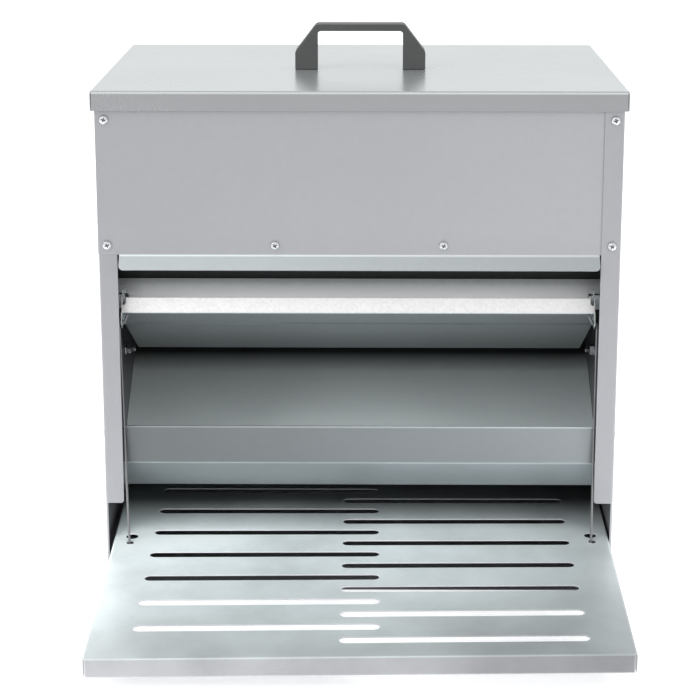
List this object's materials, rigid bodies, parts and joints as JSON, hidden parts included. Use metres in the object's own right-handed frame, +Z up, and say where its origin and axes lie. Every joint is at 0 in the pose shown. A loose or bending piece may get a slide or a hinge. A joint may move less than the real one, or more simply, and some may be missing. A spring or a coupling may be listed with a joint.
{
  "type": "gravity poultry feeder",
  "caption": "Sheet-steel gravity poultry feeder with a lift-off lid and handle, a slotted treadle and a guard flap that the treadle opens through two wire rods.",
  "frame": {"origin": "on the floor, at the middle of the underside of the base panel", "axes": "+X to the right seen from the front, +Y from the treadle towards the back panel, +Z up"},
  "size_m": [0.4076, 0.5048, 0.4364],
  "materials": {
    "galvanised_sheet": "satin galvanised",
    "lid_sheet": "satin galvanised",
    "treadle_sheet": "semi-bright galvanised",
    "flap_sheet": "bright galvanised with fine spangle",
    "zinc_fastener": "bright zinc plated",
    "zinc_wire": "bright zinc plated",
    "handle_plastic": "moulded, fine grain"
  },
  "bodies": {
    "box": {"left_side_panel": "galvanised_sheet", "right_side_panel": "galvanised_sheet", "front_panel": "galvanised_sheet", "back_panel": "galvanised_sheet", "base_panel": "galvanised_sheet", "hopper_slope": "galvanised_sheet", "trough_front": "galvanised_sheet", "hopper_baffle": "galvanised_sheet", "left_post_screw_1": "zinc_fastener", "left_post_screw_2": "zinc_fastener", "left_panel_screw": "zinc_fastener", "left_trough_screw": "zinc_fastener", "left_baffle_screw": "zinc_fastener", "left_base_screw_1": "zinc_fastener", "left_base_screw_2": "zinc_fastener", "left_back_screw_1": "zinc_fastener", "left_back_screw_2": "zinc_fastener", "left_back_screw_3": "zinc_fastener", "left_slope_screw": "zinc_fastener", "left_hold_open_bolt": "zinc_fastener", "left_hold_open_nut": "zinc_fastener", "left_flap_bolt": "zinc_fastener", "left_flap_spacer": "zinc_fastener", "left_flap_nut": "zinc_fastener", "left_treadle_bolt": "zinc_fastener", "left_treadle_washer": "zinc_fastener", "left_treadle_nut": "zinc_fastener", "right_post_screw_1": "zinc_fastener", "right_post_screw_2": "zinc_fastener", "right_panel_screw": "zinc_fastener", "right_trough_screw": "zinc_fastener", "right_baffle_screw": "zinc_fastener", "right_base_screw_1": "zinc_fastener", "right_base_screw_2": "zinc_fastener", "right_back_screw_1": "zinc_fastener", "right_back_screw_2": "zinc_fastener", "right_back_screw_3": "zinc_fastener", "right_slope_screw": "zinc_fastener", "right_hold_open_bolt": "zinc_fastener", "right_hold_open_nut": "zinc_fastener", "right_flap_bolt": "zinc_fastener", "right_flap_spacer": "zinc_fastener", "right_flap_nut": "zinc_fastener", "right_treadle_bolt": "zinc_fastener", "right_treadle_washer": "zinc_fastener", "right_treadle_nut": "zinc_fastener"},
    "lid": {"lid_shell": "lid_sheet", "handle": "handle_plastic", "left_handle_screw": "zinc_fastener", "right_handle_screw": "zinc_fastener"},
    "treadle": {"treadle_plate": "treadle_sheet"},
    "flap": {"flap": "flap_sheet"},
    "left_rod": {"left_pull_rod": "zinc_wire"},
    "right_rod": {"right_pull_rod": "zinc_wire"}
  },
  "joints": [
    {"name": "lid_lift", "type": "slide", "parent": "box", "child": "lid", "axis": [0, 0, 1], "range_m": [0, 0.12]},
    {"name": "treadle_hinge", "type": "hinge", "parent": "box", "child": "treadle", "pos_m": [0.0016, -0.0304, 0.0471], "axis": [-1, 0, 0], "range_deg": [0, 11.4]},
    {"name": "flap_hinge", "type": "hinge", "parent": "box", "child": "flap", "pos_m": [0, -0.108, 0.23], "axis": [-1, 0, 0], "range_deg": [0, 59.4]},
    {"name": "left_rod_hook", "type": "hinge", "parent": "flap", "child": "left_rod", "pos_m": [-0.1855, -0.13, 0.216], "axis": [1, 0, 0], "range_deg": [0, 60.4]},
    {"name": "right_rod_hook", "type": "hinge", "parent": "flap", "child": "right_rod", "pos_m": [0.1835, -0.13, 0.216], "axis": [1, 0, 0], "range_deg": [0, 60.4]}
  ],
  "couplings": [
    {"joint": "flap_hinge", "follows": "treadle_hinge", "ratio": 5.2},
    {"joint": "left_rod_hook", "follows": "treadle_hinge", "ratio": 5.29},
    {"joint": "right_rod_hook", "follows": "treadle_hinge", "ratio": 5.29}
  ]
}
